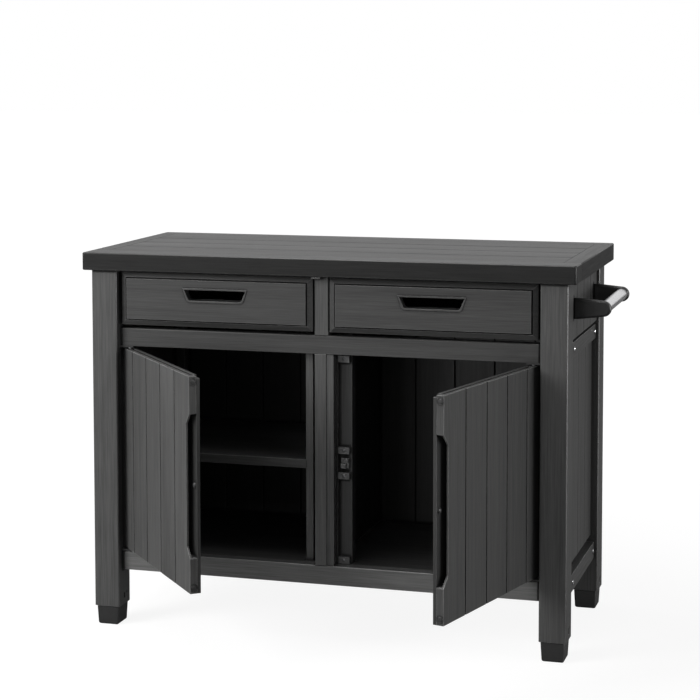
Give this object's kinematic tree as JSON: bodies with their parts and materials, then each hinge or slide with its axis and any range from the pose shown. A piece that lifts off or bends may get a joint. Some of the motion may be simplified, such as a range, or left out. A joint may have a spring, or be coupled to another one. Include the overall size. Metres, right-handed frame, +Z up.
{
  "type": "grill cart with storage",
  "caption": "Free-standing outdoor grill cart with a plank worktop, drawers with cut-out pulls, plank doors over a shelf and a side handle.",
  "frame": {"origin": "middle of the bounding box on the floor, as modelled with the doors open", "axes": "+X to the right seen from the doors, +Y to the back, +Z up"},
  "size_m": [1.238, 0.9762, 0.9],
  "materials": {
    "worktop_resin": "satin, brushed wood grain",
    "frame_resin": "satin, brushed wood grain",
    "door_resin": "satin, brushed wood grain",
    "drawer_resin": "satin, brushed wood grain",
    "tray_resin": "matt",
    "foot_cap": "matt",
    "handle_arm": "satin",
    "handle_bar": "brushed",
    "screw_metal": "polished",
    "hinge_metal": "satin",
    "catch_plastic": "satin"
  },
  "bodies": {
    "cabinet": {"back_panel": "frame_resin", "bottom_rail": "frame_resin", "catch_blocks": "catch_plastic", "catch_screws": "screw_metal", "centre_partition": "frame_resin", "centre_post": "frame_resin", "centre_stile": "frame_resin", "drawer_divider": "frame_resin", "floor_panel": "frame_resin", "foot_front_left": "foot_cap", "foot_front_right": "foot_cap", "foot_rear_left": "foot_cap", "foot_rear_right": "foot_cap", "handle_arm_front": "handle_arm", "handle_arm_rear": "handle_arm", "handle_bar": "handle_bar", "hinge_brackets_left": "catch_plastic", "hinge_brackets_right": "catch_plastic", "latch_striker": "catch_plastic", "leg_front_left": "frame_resin", "leg_front_right": "frame_resin", "leg_rear_left": "frame_resin", "leg_rear_right": "frame_resin", "mid_rail": "frame_resin", "rear_rail_lower": "frame_resin", "rear_rail_upper": "frame_resin", "runner_left_inner": "tray_resin", "runner_left_outer": "tray_resin", "runner_right_inner": "tray_resin", "runner_right_outer": "tray_resin", "shelf": "frame_resin", "shelf_cleats": "frame_resin", "side_panel_left": "frame_resin", "side_panel_right": "frame_resin", "side_panel_upper_left": "frame_resin", "side_panel_upper_right": "frame_resin", "side_rail_lower_left": "frame_resin", "side_rail_lower_right": "frame_resin", "side_rail_screws": "screw_metal", "side_rail_upper_left": "frame_resin", "side_rail_upper_right": "frame_resin", "top_battens": "worktop_resin", "top_deck": "worktop_resin", "top_end_board_left": "worktop_resin", "top_end_board_right": "worktop_resin", "top_front_board": "worktop_resin", "top_rear_board": "worktop_resin"},
    "drawer_left": {"drawer_left_front": "drawer_resin", "drawer_left_tray": "tray_resin"},
    "drawer_right": {"drawer_right_front": "drawer_resin", "drawer_right_tray": "tray_resin"},
    "door_left": {"door_left_back": "door_resin", "door_left_front": "door_resin", "door_left_pins": "hinge_metal", "door_left_screws": "catch_plastic"},
    "door_right": {"door_right_back": "door_resin", "door_right_front": "door_resin", "door_right_pins": "hinge_metal", "door_right_screws": "catch_plastic"}
  },
  "joints": [
    {"name": "drawer_left_slide", "type": "slide", "parent": "cabinet", "child": "drawer_left", "axis": [0, -1, 0], "range_m": [0, 0.33]},
    {"name": "drawer_right_slide", "type": "slide", "parent": "cabinet", "child": "drawer_right", "axis": [0, -1, 0], "range_m": [0, 0.33]},
    {"name": "door_left_hinge", "type": "hinge", "parent": "cabinet", "child": "door_left", "pos_m": [-0.516, -0.03841, 0.428], "axis": [0, 0, -1], "range_deg": [-50.5, 47.5]},
    {"name": "door_right_hinge", "type": "hinge", "parent": "cabinet", "child": "door_right", "pos_m": [0.458, -0.03841, 0.428], "axis": [0, 0, 1], "range_deg": [-75.5, 22.5]}
  ]
}
